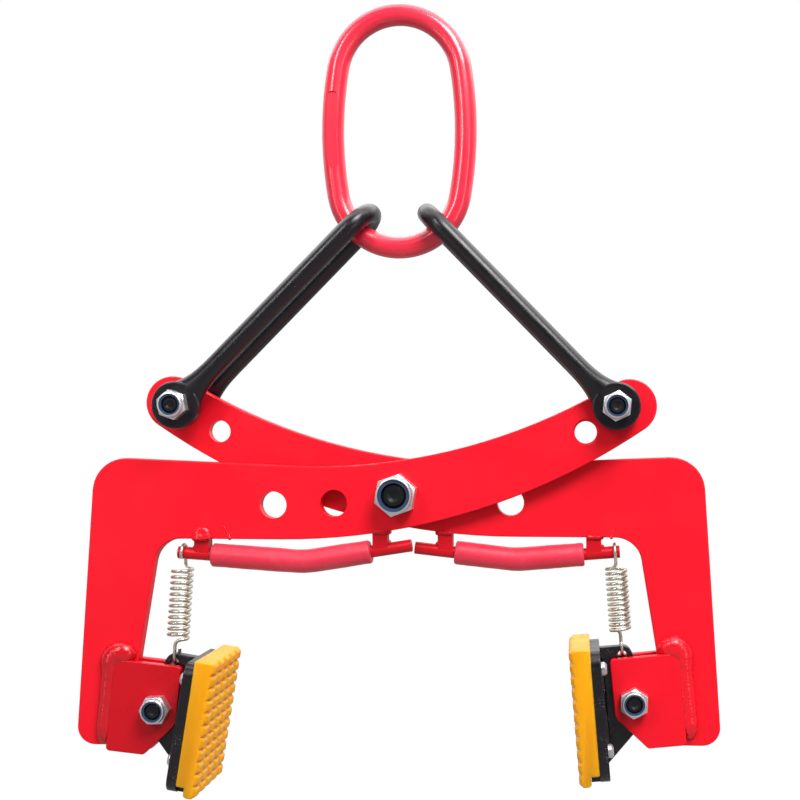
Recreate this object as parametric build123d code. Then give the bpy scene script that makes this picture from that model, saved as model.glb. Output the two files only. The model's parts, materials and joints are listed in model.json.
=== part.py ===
from build123d import *
import math
import os

# Stone lifting clamp: two crossed plate arms on one pivot, hung by two long shackles from a
# master link, with a hinged rubber-faced pad and a hand grip on each arm.
# Driving dimensions are in millimetres and degrees. They are laid out from the pivot axis:
# X to the right, Y to the back, Z up. The front arm has its leg on the left, and the rear arm
# is the same plate turned half a turn about Z, with its own spare holes.

# Master link, an oval of round bar: tight ends and gently bowed sides
LINK_BAR = 16.0
LINK_INNER_WIDTH = 80.5
LINK_INNER_LENGTH = 151.5
LINK_END_RADIUS = 45.0
STAMP_FLAT_LENGTH = 55.0
STAMP_FLAT_WIDTH = 7.6
STAMP_FLAT_DEPTH = 1.1

# Forged long shackles
SHACKLE_BAR = 14.0
SHACKLE_GAP = 26.0
SHACKLE_REACH = 188.3
SHACKLE_EYE_DIAMETER = 34.0
SHACKLE_EYE_THICKNESS = 11.0
SHACKLE_NECK_LENGTH = 24.0
SHACKLE_NECK_STEPS = [(0.42, 15.4, 13.0), (0.73, 19.6, 11.8), (1.0, 27.5, 10.9)]
SHACKLE_NECK_LAP = 7.5
SHACKLE_EDGE_ROUND = 1.5
BOW_PLAY = 0.8

# Arm plates
ARM_THICKNESS = 10.0
ARM_SPACING = 2.0
EYE_X = 157.5
EYE_Z = 64.0
ARM_END_RADIUS = 19.5
ARM_END_PAST_EYE = 9.5
ARM_EDGE_ROUND = 1.0
BEAM_TOP = 26.5
BEAM_TOP_FALL = 2.4
BEAM_UNDERSIDE = -33.0
TOP_ARC_RADIUS = 420.0
UNDERSIDE_ARC_RADIUS = 465.0
LEG_OUTER_X = -221.5
LEG_OUTER_LEAN = 4.0
LEG_INNER_X = -175.0
LEG_INNER_LEAN = 9.5
LEG_FOOT_Z = -184.5
OUTER_CORNER_RADIUS = 25.0
INNER_CORNER_RADIUS = 20.0
FOOT_OUTER_RADIUS = 13.0
FOOT_INNER_RADIUS = 5.0
FRONT_OUTLINE_SHIFT = (0.0, 0.0)
REAR_OUTLINE_SHIFT = (0.8, 2.0)
FRONT_PIVOT_HOLES = [(-46.0, -6.5), (-90.2, -8.0)]
REAR_PIVOT_HOLES = [(-40.0, -5.0), (-81.3, -6.0)]
PIVOT_HOLE_DIAMETER = 19.6
FRONT_SPARE_EYE = (135.8, 45.4)
REAR_SPARE_EYE = (132.6, 45.2)
SPARE_EYE_DIAMETER = 16.0
SPARE_EYE_COUNTERSINK = 1.5

# Bracket cheeks welded on both faces of each leg, laid out from the arm's pad bolt
FRONT_PAD_BOLT = (-174.0, -156.0)
REAR_PAD_BOLT = (-171.5, -149.5)
CHEEK_THICKNESS = 6.0
CHEEK_TO_PAD = 14.5
CHEEK_TO_LEG = 35.0
CHEEK_ABOVE = 32.0
CHEEK_BELOW = 35.0
CHEEK_CUT_WIDTH = 21.5
CHEEK_CUT_HEIGHT = 24.5
CHEEK_CUT_ROUND = 9.0
CHEEK_CORNER_ROUND = 3.0
CHEEK_EDGE_ROUND = 0.8
CHEEK_TILT = 6.0

# Hand grips: outer end, bend and inner end of each bent rod, and the places of its two posts
ROD_DIAMETER = 9.0
ROD_BEND_RADIUS = 70.0
FRONT_ROD = [(-161.0, -43.3), (-68.0, -49.5), (10.0, -37.0)]
REAR_ROD = [(-161.0, -41.6), (-85.0, -48.0), (-11.0, -39.8)]
FRONT_POSTS = [-143.0, -12.5]
REAR_POSTS = [-142.0, -33.5]
POST_WIDTH = 11.0
POST_DEPTH = 8.6
GRIP_DIAMETER = 17.6
GRIP_BORE_CLEARANCE = 0.1
GRIP_TO_POST = 1.0

# Pads, laid out from the pad bolt before they lean: U towards the stone, Z up
FRONT_PAD_LEAN = 9.2
REAR_PAD_LEAN = 5.0
PAD_WIDTH = 70.0
PLATE_BACK_U = 21.5
PLATE_THICKNESS = 7.0
PLATE_TOP = 41.5
PLATE_BOTTOM = -52.0
PLATE_EDGE_ROUND = 0.8
PLATE_CORNER_RADIUS = 10.0
LIP_REACH = 6.5
LIP_THICKNESS = 6.0
GRIP_FACE_THICKNESS = 12.5
GRIP_FACE_TOP = 44.5
NOSE_DROP = 1.2
NOSE_GAP = 1.0
STUD_GAP = 1.0
STUD_HEIGHT = 2.8
STUD_TAPER = 35.0
STUD_CORNER_CUT = 2.2
STUD_ROWS = 11
STUD_COLUMNS = 5
LUG_THICKNESS = 8.0
LUG_TOP = 40.0
LUG_TOP_BACK_U = 1.0
LUG_TOP_ROUND = 6.0
LUG_BOSS_RADIUS = 16.5
LUG_FOOT = -45.0
LUG_EDGE_ROUND = 0.8
HOOK_HOLE_U = 5.5
HOOK_HOLE_Z = 33.5
HOOK_HOLE_DIAMETER = 6.6
SCREW_SHANK_DIAMETER = 6.0
SCREW_HEAD_DIAMETER = 10.0
SCREW_HEAD_HEIGHT = 4.0
SCREW_HEAD_ROUND = 1.5
SCREW_DEPTH = 12.0
SCREW_SPREAD = 46.0
SCREW_HEIGHTS = [28.0, -31.0]
SCREW_CLEARANCE = 0.2

# Extension springs with open hooks
SPRING_WIRE = 2.0
SPRING_OUTER_DIAMETER = 16.0
SPRING_COILS = 12
SPRING_TURN_IN = 5.0
SPRING_HOOK_RISE = 12.0
SPRING_HOOK_PLAY = 0.4
SPRING_HOOK_TURN = 215.0
SPRING_INSET = 3.5
SPRING_STRAIGHT = 0.001

# Bolts and nylon-insert nuts
PIVOT_THREAD = 18.0
PIVOT_FLATS = 27.0
PIVOT_NUT_HEIGHT = 18.5
PIVOT_HEAD_HEIGHT = 11.5
PIVOT_NUT_SPIN = 20.0
EYE_NUT_SPINS = [40.0, 25.0]
PAD_NUT_SPINS = [2.0, 28.0]
JOINT_THREAD = 12.0
JOINT_FLATS = 19.0
JOINT_NUT_HEIGHT = 12.0
JOINT_HEAD_HEIGHT = 7.5
JOINT_HOLE_DIAMETER = 12.6
NUT_HEX_SHARE = 0.68
NUT_COLLAR_STEP = 0.6
NUT_COLLAR_WALL = 1.4
NUT_LIP = 1.0
NUT_EDGE_ROUND = 1.2
BOLT_END_RECESS = 1.6
BOLT_TIP_SHARE = 0.11
BOLT_DISH_SHARE = 0.52
BOLT_DISH_DEPTH_SHARE = 0.07
HEX_CORNER_DROP = 1.1
HEX_CORNER_SLOPE = 0.55
THREAD_CLEARANCE = 0.1
SPACER_DIAMETER = 44.0
SPACER_PLAY = 0.1

# Places that follow from the sizes above
LINK_HALF_WIDTH = (LINK_INNER_WIDTH + LINK_BAR) / 2
LINK_HALF_LENGTH = (LINK_INNER_LENGTH + LINK_BAR) / 2
LINK_END_OFFSET = LINK_HALF_LENGTH - LINK_END_RADIUS
LINK_SIDE_RADIUS = (
    (LINK_HALF_WIDTH**2 + LINK_END_OFFSET**2 - LINK_END_RADIUS**2) / (LINK_HALF_WIDTH - LINK_END_RADIUS) / 2
)
SHACKLE_SWING_RADIUS = LINK_END_RADIUS - LINK_BAR / 2 - BOW_PLAY + SHACKLE_REACH
SHACKLE_ANGLE = math.degrees(math.asin(EYE_X / SHACKLE_SWING_RADIUS))
LINK_LOW_CENTRE_Z = EYE_Z + math.sqrt(SHACKLE_SWING_RADIUS**2 - EYE_X**2)
LINK_MIDDLE_Z = LINK_LOW_CENTRE_Z + LINK_END_OFFSET
HOOK_SEAT_Z = LINK_MIDDLE_Z + LINK_INNER_LENGTH / 2
ARM_OFFSET = (ARM_THICKNESS + ARM_SPACING) / 2
SHACKLE_LEG_Y = (SHACKLE_GAP + SHACKLE_BAR) / 2
SHACKLE_OUTER_Y = SHACKLE_LEG_Y + SHACKLE_EYE_THICKNESS / 2
CHEEK_OUTER_Y = ARM_THICKNESS / 2 + CHEEK_THICKNESS

FRONT_ARM = Location((0, -ARM_OFFSET, 0))
REAR_ARM = Location((0, ARM_OFFSET, 0), (0, 0, 180))
HALF_TURN = Location((0, 0, 0), (0, 0, 180))


def side_plane(y):
    """Drawing plane looking along +Y: its X is the frame's X and its Y is the frame's Z."""
    return Plane(origin=(0, y, 0), x_dir=(1, 0, 0), z_dir=(0, -1, 0))


def plate(face, thickness):
    """A face drawn in X and Z, thickened evenly to both sides of Y = 0."""
    return extrude(side_plane(0) * face, thickness / 2, both=True)


def soft_edged(solid, radius):
    """A plate with the edges of its two flat faces rounded."""
    return fillet(solid.faces().filter_by(Axis.Y).edges(), radius)


def pin(diameter, y_front, y_back, x=0.0, z=0.0):
    """A round bar along Y between two depths."""
    bar = extrude(Circle(diameter / 2), y_back - y_front)
    return Plane(origin=(x, y_front, z), x_dir=(1, 0, 0), z_dir=(0, 1, 0)) * bar


def outline_face(points):
    """A closed face with straight sides through the points."""
    return make_face(Polyline(*points, close=True))


def round_corner(face, place, radius):
    """The face with its corner nearest to a place rounded."""
    corner = min(face.vertices(), key=lambda v: math.dist((v.X, v.Y), place))
    return fillet(corner, radius)


def link_point(turn):
    """A point on the bowed side of the link, by its turn from the middle in radians."""
    across = LINK_HALF_WIDTH - LINK_SIDE_RADIUS * (1 - math.cos(turn))
    return across, LINK_SIDE_RADIUS * math.sin(turn)


def master_link():
    """Oval link of round bar, with the bare flat on one leg where a stamp would go."""
    def at(x, z):
        return (x, 0, LINK_MIDDLE_Z + z)

    turn = math.asin(LINK_END_OFFSET / (LINK_SIDE_RADIUS - LINK_END_RADIUS))
    x, z = link_point(turn)
    half_x, half_z = link_point(turn / 2)
    start = at(-LINK_HALF_WIDTH, 0)
    path = Wire([
        ThreePointArc(start, at(-half_x, half_z), at(-x, z)),
        ThreePointArc(at(-x, z), at(0, LINK_HALF_LENGTH), at(x, z)),
        ThreePointArc(at(x, z), at(LINK_HALF_WIDTH, 0), at(x, -z)),
        ThreePointArc(at(x, -z), at(0, -LINK_HALF_LENGTH), at(-x, -z)),
        ThreePointArc(at(-x, -z), at(-half_x, -half_z), start),
    ])
    bar = sweep(Plane(origin=start, z_dir=(0, 0, 1)) * Circle(LINK_BAR / 2), path=path)
    return bar - extrude(stamp_flat(), LINK_BAR / 2)


def stamp_flat():
    """Floor of the bare panel on the link's left leg: a slot with round ends, bowed like the leg."""
    x, z = link_point(math.asin((STAMP_FLAT_LENGTH - STAMP_FLAT_WIDTH) / 2 / LINK_SIDE_RADIUS))
    low, high = (-x, LINK_MIDDLE_Z - z), (-x, LINK_MIDDLE_Z + z)
    line = ThreePointArc(low, (-LINK_HALF_WIDTH, LINK_MIDDLE_Z), high)
    return side_plane(-LINK_BAR / 2 + STAMP_FLAT_DEPTH) * SlotArc(line, STAMP_FLAT_WIDTH)


def shackle():
    """Long shackle along +X from the link's lower bow: a U of round bar with two flat eyes."""
    bow_u = SHACKLE_SWING_RADIUS - SHACKLE_REACH + SHACKLE_GAP / 2
    eye_u = SHACKLE_SWING_RADIUS
    neck_u = eye_u - SHACKLE_EYE_DIAMETER / 2 - SHACKLE_NECK_LENGTH
    y = SHACKLE_LEG_Y
    path = Wire([
        Line((neck_u, -y, 0), (bow_u, -y, 0)),
        ThreePointArc((bow_u, -y, 0), (bow_u - y, 0, 0), (bow_u, y, 0)),
        Line((bow_u, y, 0), (neck_u, y, 0)),
    ])
    body = sweep(Plane(origin=(neck_u, -y, 0), z_dir=(-1, 0, 0)) * Circle(SHACKLE_BAR / 2), path=path)
    for side in (-y, y):
        start = Plane(origin=(neck_u, side, 0), x_dir=(0, 1, 0), z_dir=(1, 0, 0))
        run = SHACKLE_NECK_LENGTH + SHACKLE_NECK_LAP
        neck_faces = [start * Circle(SHACKLE_BAR / 2)]
        for share, wide, deep in SHACKLE_NECK_STEPS:
            neck_faces.append(start.offset(share * run) * Ellipse(deep / 2, wide / 2))
        neck = loft(neck_faces)
        half = SHACKLE_EYE_THICKNESS / 2
        eye = pin(SHACKLE_EYE_DIAMETER, side - half, side + half, eye_u)
        eye = fillet(eye.edges().filter_by(GeomType.CIRCLE), SHACKLE_EDGE_ROUND)
        body += [neck, eye]
    return body - pin(JOINT_HOLE_DIAMETER, -2 * y, 2 * y, eye_u)


def arm_face():
    """Outline of one arm: leg, beam, and the curved reach up to the shackle eye."""
    end_x = EYE_X + ARM_END_PAST_EYE
    end_z = EYE_Z
    fall = math.radians(BEAM_TOP_FALL)
    along = (math.cos(fall), -math.sin(fall))
    up = (math.sin(fall), math.cos(fall))

    # The upper curve leaves the straight beam top and runs on to the rounded end
    from_x = LEG_OUTER_X + up[0] * TOP_ARC_RADIUS - end_x
    from_z = BEAM_TOP + up[1] * TOP_ARC_RADIUS - end_z
    dot = from_x * along[0] + from_z * along[1]
    span = (TOP_ARC_RADIUS + ARM_END_RADIUS) ** 2 - from_x**2 - from_z**2
    run = -dot - math.sqrt(dot**2 + span)
    top_start = (LEG_OUTER_X + run * along[0], BEAM_TOP + run * along[1])
    top_x = top_start[0] + up[0] * TOP_ARC_RADIUS
    top_z = top_start[1] + up[1] * TOP_ARC_RADIUS
    share = ARM_END_RADIUS / (TOP_ARC_RADIUS + ARM_END_RADIUS)
    top_end = (end_x + (top_x - end_x) * share, end_z + (top_z - end_z) * share)

    # The lower curve leaves the straight underside and wraps the rounded end from outside
    low_z = BEAM_UNDERSIDE + UNDERSIDE_ARC_RADIUS
    inner = UNDERSIDE_ARC_RADIUS - ARM_END_RADIUS
    low_x = end_x - math.sqrt(inner**2 - (low_z - end_z) ** 2)
    low_start = (low_x, BEAM_UNDERSIDE)
    share = ARM_END_RADIUS / inner
    low_end = (end_x - (low_x - end_x) * share, end_z - (low_z - end_z) * share)

    nose_angle = math.atan2(end_z, end_x)
    nose = (end_x + ARM_END_RADIUS * math.cos(nose_angle), end_z + ARM_END_RADIUS * math.sin(nose_angle))
    foot_drop = BEAM_TOP - LEG_FOOT_Z
    foot_outer = (LEG_OUTER_X - foot_drop * math.tan(math.radians(LEG_OUTER_LEAN)), LEG_FOOT_Z)
    inner_drop = BEAM_UNDERSIDE - LEG_FOOT_Z
    foot_inner = (LEG_INNER_X - inner_drop * math.tan(math.radians(LEG_INNER_LEAN)), LEG_FOOT_Z)
    shoulder = (LEG_OUTER_X, BEAM_TOP)
    armpit = (LEG_INNER_X, BEAM_UNDERSIDE)
    face = make_face([
        Line(shoulder, top_start),
        RadiusArc(top_start, top_end, -TOP_ARC_RADIUS),
        ThreePointArc(top_end, nose, low_end),
        RadiusArc(low_end, low_start, UNDERSIDE_ARC_RADIUS),
        Line(low_start, armpit),
        Line(armpit, foot_inner),
        Line(foot_inner, foot_outer),
        Line(foot_outer, shoulder),
    ])
    face = round_corner(face, shoulder, OUTER_CORNER_RADIUS)
    face = round_corner(face, armpit, INNER_CORNER_RADIUS)
    face = round_corner(face, foot_outer, FOOT_OUTER_RADIUS)
    return round_corner(face, foot_inner, FOOT_INNER_RADIUS)


def arm_blank(outline_shift):
    """An arm without holes, its outline shifted a little on the place of its holes."""
    return plate(Pos(*outline_shift) * arm_face(), ARM_THICKNESS)


def arm_plate(outline_shift, pivot_holes, spare_eye):
    """One arm plate with its pivot row, eye hole and countersunk spare eye hole."""
    half = ARM_THICKNESS / 2
    arm = soft_edged(arm_blank(outline_shift), ARM_EDGE_ROUND)
    for x, z in [(0.0, 0.0)] + pivot_holes:
        arm -= pin(PIVOT_HOLE_DIAMETER, -ARM_THICKNESS, ARM_THICKNESS, x, z)
    arm -= pin(JOINT_HOLE_DIAMETER, -ARM_THICKNESS, ARM_THICKNESS, EYE_X, EYE_Z)
    x, z = spare_eye
    arm -= pin(SPARE_EYE_DIAMETER, -ARM_THICKNESS, ARM_THICKNESS, x, z)
    sink = Cone(SPARE_EYE_DIAMETER / 2, SPARE_EYE_DIAMETER / 2 + SPARE_EYE_COUNTERSINK, SPARE_EYE_COUNTERSINK)
    mouth = Plane(origin=(x, -half + SPARE_EYE_COUNTERSINK / 2, z), x_dir=(1, 0, 0), z_dir=(0, -1, 0))
    return arm - mouth * sink


def cheek(bolt_place, side):
    """One bracket cheek on the front (-1) or back (+1) face of a leg, in the arm's frame."""
    cut_low = (CHEEK_TO_PAD - CHEEK_CUT_WIDTH, -CHEEK_BELOW)
    cut_high = (CHEEK_TO_PAD, CHEEK_CUT_HEIGHT - CHEEK_BELOW)
    top_pad = (CHEEK_TO_PAD, CHEEK_ABOVE)
    top_leg = (-CHEEK_TO_LEG, CHEEK_ABOVE)
    low_leg = (-CHEEK_TO_LEG, -CHEEK_BELOW)
    face = outline_face([low_leg, cut_low, cut_high, top_pad, top_leg])
    face = round_corner(face, cut_high, CHEEK_CUT_ROUND)
    for corner in (cut_low, top_pad, low_leg):
        face = round_corner(face, corner, CHEEK_CORNER_ROUND)
    solid = soft_edged(plate(face, CHEEK_THICKNESS), CHEEK_EDGE_ROUND)
    solid -= pin(JOINT_HOLE_DIAMETER, -CHEEK_THICKNESS, CHEEK_THICKNESS)
    x, z = bolt_place
    y = side * (ARM_THICKNESS + CHEEK_THICKNESS) / 2
    return Location((x, y, z), (0, CHEEK_TILT, 0)) * solid


def rod_height(rod, x):
    """Height of a rod's centre line at a place along the arm, on its straight runs."""
    first, second = (rod[0], rod[1]) if x < rod[1][0] else (rod[1], rod[2])
    return first[1] + (x - first[0]) * (second[1] - first[1]) / (second[0] - first[0])


def rod_tube(rod, diameter):
    """Round bar along a rod's bent centre line."""
    points = [(x, 0, z) for x, z in rod]
    path = FilletPolyline(*points, radius=ROD_BEND_RADIUS)
    return sweep(Plane(origin=path @ 0, z_dir=path % 0) * Circle(diameter / 2), path=path)


def rod_posts(rod, posts, outline_shift):
    """Two short posts between the arm's underside and the rod, saddled on the rod."""
    arm = arm_blank(outline_shift)
    bar = rod_tube(rod, ROD_DIAMETER)
    solids = []
    for x in posts:
        low = rod_height(rod, x)
        height = BEAM_UNDERSIDE / 2 - low
        block = Pos(x, 0, low + height / 2) * Box(POST_WIDTH, POST_DEPTH, height)
        solids.append((block - arm - bar).solids().sort_by(Axis.Z)[0])
    return Compound(solids)


def grip_sleeve(rod, posts):
    """Rubber sleeve on the rod between its two posts."""
    sleeve = rod_tube(rod, GRIP_DIAMETER) - rod_tube(rod, ROD_DIAMETER + 2 * GRIP_BORE_CLEARANCE)
    low_x = posts[0] + POST_WIDTH / 2 + GRIP_TO_POST
    high_x = posts[1] - POST_WIDTH / 2 - GRIP_TO_POST
    keep = Box(high_x - low_x, 2 * GRIP_DIAMETER, 8 * GRIP_DIAMETER)
    return sleeve & Pos((low_x + high_x) / 2, 0, rod[1][1]) * keep


def pad_place(bolt_place, lean):
    """Place of a pad in its arm's frame: at the pad bolt, leaning towards the stone at the top."""
    x, z = bolt_place
    return Location((x, 0, z), (0, lean, 0))


def screw_places():
    """Y and Z of the four screws that hold the grip face on its plate."""
    return [(y, z) for z in SCREW_HEIGHTS for y in (-SCREW_SPREAD / 2, SCREW_SPREAD / 2)]


def along_u(diameter, u_low, u_high, y, z):
    """A round bar along U between two depths."""
    bar = extrude(Circle(diameter / 2), u_high - u_low)
    return Plane(origin=(u_low, y, z), x_dir=(0, 1, 0), z_dir=(1, 0, 0)) * bar


def pad_plate():
    """Backing plate with rounded corners and a lip under the grip face."""
    front = PLATE_BACK_U + PLATE_THICKNESS
    height = PLATE_TOP - PLATE_BOTTOM
    face = RectangleRounded(PAD_WIDTH, height, PLATE_CORNER_RADIUS)
    middle = (PLATE_TOP + PLATE_BOTTOM) / 2
    back = Plane(origin=(PLATE_BACK_U, 0, middle), x_dir=(0, 1, 0), z_dir=(1, 0, 0))
    solid = extrude(back * face, PLATE_THICKNESS)
    solid = fillet(solid.faces().sort_by(Axis.X)[0].edges(), PLATE_EDGE_ROUND)
    lip = Box(LIP_REACH, PAD_WIDTH - 2 * PLATE_CORNER_RADIUS, LIP_THICKNESS)
    solid += Pos(front + LIP_REACH / 2, 0, PLATE_BOTTOM + LIP_THICKNESS / 2) * lip
    for y, z in screw_places():
        solid -= along_u(SCREW_SHANK_DIAMETER + 2 * SCREW_CLEARANCE, PLATE_BACK_U - 1, front + 1, y, z)
    return solid


def pad_lug():
    """Upright fin on the back of the plate: a boss round the bolt and a horn for the spring."""
    start = (PLATE_BACK_U, LUG_TOP)
    horn = (LUG_TOP_BACK_U, LUG_TOP)
    foot = (PLATE_BACK_U, LUG_FOOT)
    back = tangent_point(horn, LUG_BOSS_RADIUS, 1)
    under = tangent_point(foot, LUG_BOSS_RADIUS, -1)
    middle = math.atan2(back[1] + under[1], back[0] + under[0])
    far = (LUG_BOSS_RADIUS * math.cos(middle), LUG_BOSS_RADIUS * math.sin(middle))
    face = make_face([
        Line(start, horn),
        Line(horn, back),
        ThreePointArc(back, far, under),
        Line(under, foot),
        Line(foot, start),
    ])
    face = round_corner(face, horn, LUG_TOP_ROUND)
    solid = soft_edged(plate(face, LUG_THICKNESS), LUG_EDGE_ROUND)
    solid -= pin(JOINT_HOLE_DIAMETER, -LUG_THICKNESS, LUG_THICKNESS)
    return solid - pin(HOOK_HOLE_DIAMETER, -LUG_THICKNESS, LUG_THICKNESS, HOOK_HOLE_U, HOOK_HOLE_Z)


def tangent_point(place, radius, side):
    """Where a line from a place touches the circle round the bolt, on its left (1) or right (-1)."""
    angle = math.atan2(place[1], place[0]) + side * math.acos(radius / math.hypot(*place))
    return (radius * math.cos(angle), radius * math.sin(angle))


def grip_face():
    """Polyurethane face with rows of studs, stepped over the plate's lip."""
    back = PLATE_BACK_U + PLATE_THICKNESS
    front = back + GRIP_FACE_THICKNESS
    lip_top = PLATE_BOTTOM + LIP_THICKNESS
    nose_u = back + LIP_REACH + NOSE_GAP
    nose_z = PLATE_BOTTOM - NOSE_DROP
    face = outline_face([
        (back, GRIP_FACE_TOP),
        (front, GRIP_FACE_TOP),
        (front, nose_z),
        (nose_u, nose_z),
        (nose_u, lip_top),
        (back, lip_top),
    ])
    solid = plate(face, PAD_WIDTH)
    across = PAD_WIDTH / STUD_COLUMNS
    along = (GRIP_FACE_TOP - nose_z) / STUD_ROWS
    foot = Rectangle(across - STUD_GAP, along - STUD_GAP)
    stud = extrude(chamfer(foot.vertices(), STUD_CORNER_CUT), STUD_HEIGHT, taper=STUD_TAPER)
    middle = Plane(origin=(front, 0, (GRIP_FACE_TOP + nose_z) / 2), x_dir=(0, 1, 0), z_dir=(1, 0, 0))
    field = GridLocations(across, along, STUD_COLUMNS, STUD_ROWS)
    solid += [middle * (place * stud) for place in field]
    for y, z in screw_places():
        solid -= along_u(SCREW_SHANK_DIAMETER + 2 * SCREW_CLEARANCE, back, pad_screw_tip() + SCREW_CLEARANCE, y, z)
    return solid


def pad_screw_tip():
    """Depth that the screws reach in the grip face."""
    return PLATE_BACK_U + SCREW_DEPTH


def pad_screws():
    """Four button-headed screws from the back of the plate into the grip face."""
    screws = []
    for y, z in screw_places():
        head = along_u(SCREW_HEAD_DIAMETER, PLATE_BACK_U - SCREW_HEAD_HEIGHT, PLATE_BACK_U, y, z)
        head = chamfer(head.edges().sort_by(Axis.X)[0], SCREW_HEAD_ROUND)
        screws.append(head + along_u(SCREW_SHANK_DIAMETER, PLATE_BACK_U, pad_screw_tip(), y, z))
    return Compound([solid for screw in screws for solid in screw.solids()])


def biarc(start, end):
    """Two tangent arcs between two stations, each a point with its direction, or a straight run."""
    (p, t), (q, s) = start, end
    chord = q - p
    if chord.cross(t).length < SPRING_STRAIGHT:
        return [Edge.make_line(p, q)]
    both = t + s
    open_ = 2 * (1 - t.dot(s))
    reach = chord.dot(both)
    handle = (-reach + math.sqrt(reach**2 + open_ * chord.dot(chord))) / open_
    knee_p = p + t * handle
    knee_q = q - s * handle
    middle = (knee_p + knee_q) * 0.5
    across = (knee_q - knee_p).normalized()
    return [Edge.make_tangent_arc(p, t, middle), Edge.make_tangent_arc(middle, across, q)]


def spring_stations(length):
    """Stations from the middle of a spring to the free end of its upper hook."""
    coil_radius = (SPRING_OUTER_DIAMETER - SPRING_WIRE) / 2
    hook_radius = spring_hook_radius()
    coil_half = length / 2 - SPRING_HOOK_RISE
    pitch = 2 * coil_half / SPRING_COILS
    slope = math.atan2(pitch, 2 * math.pi * coil_radius)
    stations = []
    for half_turn in range(SPRING_COILS + 1):
        turn = half_turn * math.pi
        place = Vector(coil_radius * math.cos(turn), coil_radius * math.sin(turn), pitch * half_turn / 2)
        way = Vector(-math.sin(turn) * math.cos(slope), math.cos(turn) * math.cos(slope), math.sin(slope))
        stations.append((place, way))
    stations.append((Vector(0, hook_radius, coil_half + SPRING_TURN_IN), Vector(0, 0, 1)))
    hook_steps = 3
    for step in range(hook_steps + 1):
        turn = math.radians(SPRING_HOOK_TURN * step / hook_steps)
        place = Vector(0, hook_radius * math.cos(turn), length / 2 + hook_radius * math.sin(turn))
        stations.append((place, Vector(0, -math.sin(turn), math.cos(turn))))
    return stations


def spring_hook_radius():
    """Radius of a hook's centre line, to clear the rod."""
    return ROD_DIAMETER / 2 + SPRING_HOOK_PLAY + SPRING_WIRE / 2


def least_gap(path):
    """Least clear gap between parts of a wire's own path, measured on points along it."""
    count = int(path.length)
    points = [path.position_at(i / count) for i in range(count + 1)]
    apart = int(3 * SPRING_WIRE) + 2
    gaps = []
    for i, p in enumerate(points):
        gaps += [(p - q).length for q in points[i + apart:]]
    return min(gaps) - SPRING_WIRE


def spring(rod, pad):
    """Extension spring from the rod's outer end to the hole in the pad's lug, as one wire."""
    top_x = rod[0][0] + SPRING_INSET
    top = Vector(top_x, 0, rod_height(rod, top_x))
    hole = (pad * Pos(HOOK_HOLE_U, 0, HOOK_HOLE_Z)).position
    axis = (top - hole).normalized()
    length = (top - hole).length - spring_hook_radius()
    upper = spring_stations(length)
    lower = [(Vector(p.X, -p.Y, -p.Z), Vector(-t.X, t.Y, t.Z)) for p, t in reversed(upper[1:])]
    stations = lower + upper
    edges = []
    for start, end in zip(stations, stations[1:]):
        edges += biarc(start, end)
    first, way = stations[0]
    last, out = stations[-1]
    edges.insert(0, Edge.make_line(first - way * SPRING_WIRE, first))
    edges.append(Edge.make_line(last, last + out * SPRING_WIRE))
    path = Wire(edges)
    print("spring wire length", round(path.length, 1), "least gap", round(least_gap(path), 2))
    wire = sweep(Plane(origin=path @ 0, z_dir=path % 0) * Circle(SPRING_WIRE / 2), path=path)
    place = Plane(origin=top - axis * (length / 2), x_dir=Vector(0, 1, 0).cross(axis), z_dir=axis)
    return place * wire


def hexagon(flats, height):
    """Hexagonal prism up from Z = 0 with its corners turned off at the top."""
    body = extrude(RegularPolygon(flats / math.sqrt(3), 6), height)
    turned = Cylinder(flats / math.sqrt(3), height, align=(Align.CENTER, Align.CENTER, Align.MIN))
    drop = (flats / math.sqrt(3) - flats / 2) * HEX_CORNER_DROP
    rim = turned.edges().filter_by(GeomType.CIRCLE).sort_by(Axis.Z)[-1]
    turned = chamfer(rim, drop * HEX_CORNER_SLOPE, drop)
    return body & turned


def fastener_place(x, z, y, spin):
    """Place of a nut or head: its outer end looks to the front (-Y), turned by spin about its axis."""
    plane = Plane(origin=(x, y, z), x_dir=(1, 0, 0), z_dir=(0, -1, 0))
    return plane * Rot(0, 0, spin)


def lock_nut(thread, flats, height):
    """Nylon-insert nut: chamfered hexagon with a round collar, open where the insert sits."""
    hex_height = height * NUT_HEX_SHARE
    collar = insert_radius(flats) + NUT_COLLAR_WALL
    body = hexagon(flats, hex_height)
    top = Cylinder(collar, height, align=(Align.CENTER, Align.CENTER, Align.MIN))
    body += fillet(top.edges().sort_by(Axis.Z)[-1], NUT_EDGE_ROUND)
    body -= Cylinder(thread / 2 + THREAD_CLEARANCE, 4 * height)
    pocket = height - hex_height
    seat = Cylinder(insert_radius(flats), pocket, align=(Align.CENTER, Align.CENTER, Align.MIN))
    return body - Pos(0, 0, hex_height) * seat


def insert_radius(flats):
    """Outer radius of the nylon insert for a nut of this size."""
    return flats / 2 - NUT_COLLAR_STEP - NUT_COLLAR_WALL


def nut_insert(thread, flats, height):
    """Nylon ring in the nut's collar, round the bolt."""
    hex_height = height * NUT_HEX_SHARE
    ring = Cylinder(insert_radius(flats) - THREAD_CLEARANCE, height - hex_height - NUT_LIP,
                    align=(Align.CENTER, Align.CENTER, Align.MIN))
    return Pos(0, 0, hex_height) * (ring - Cylinder(thread / 2 + THREAD_CLEARANCE, 4 * height))


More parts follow.
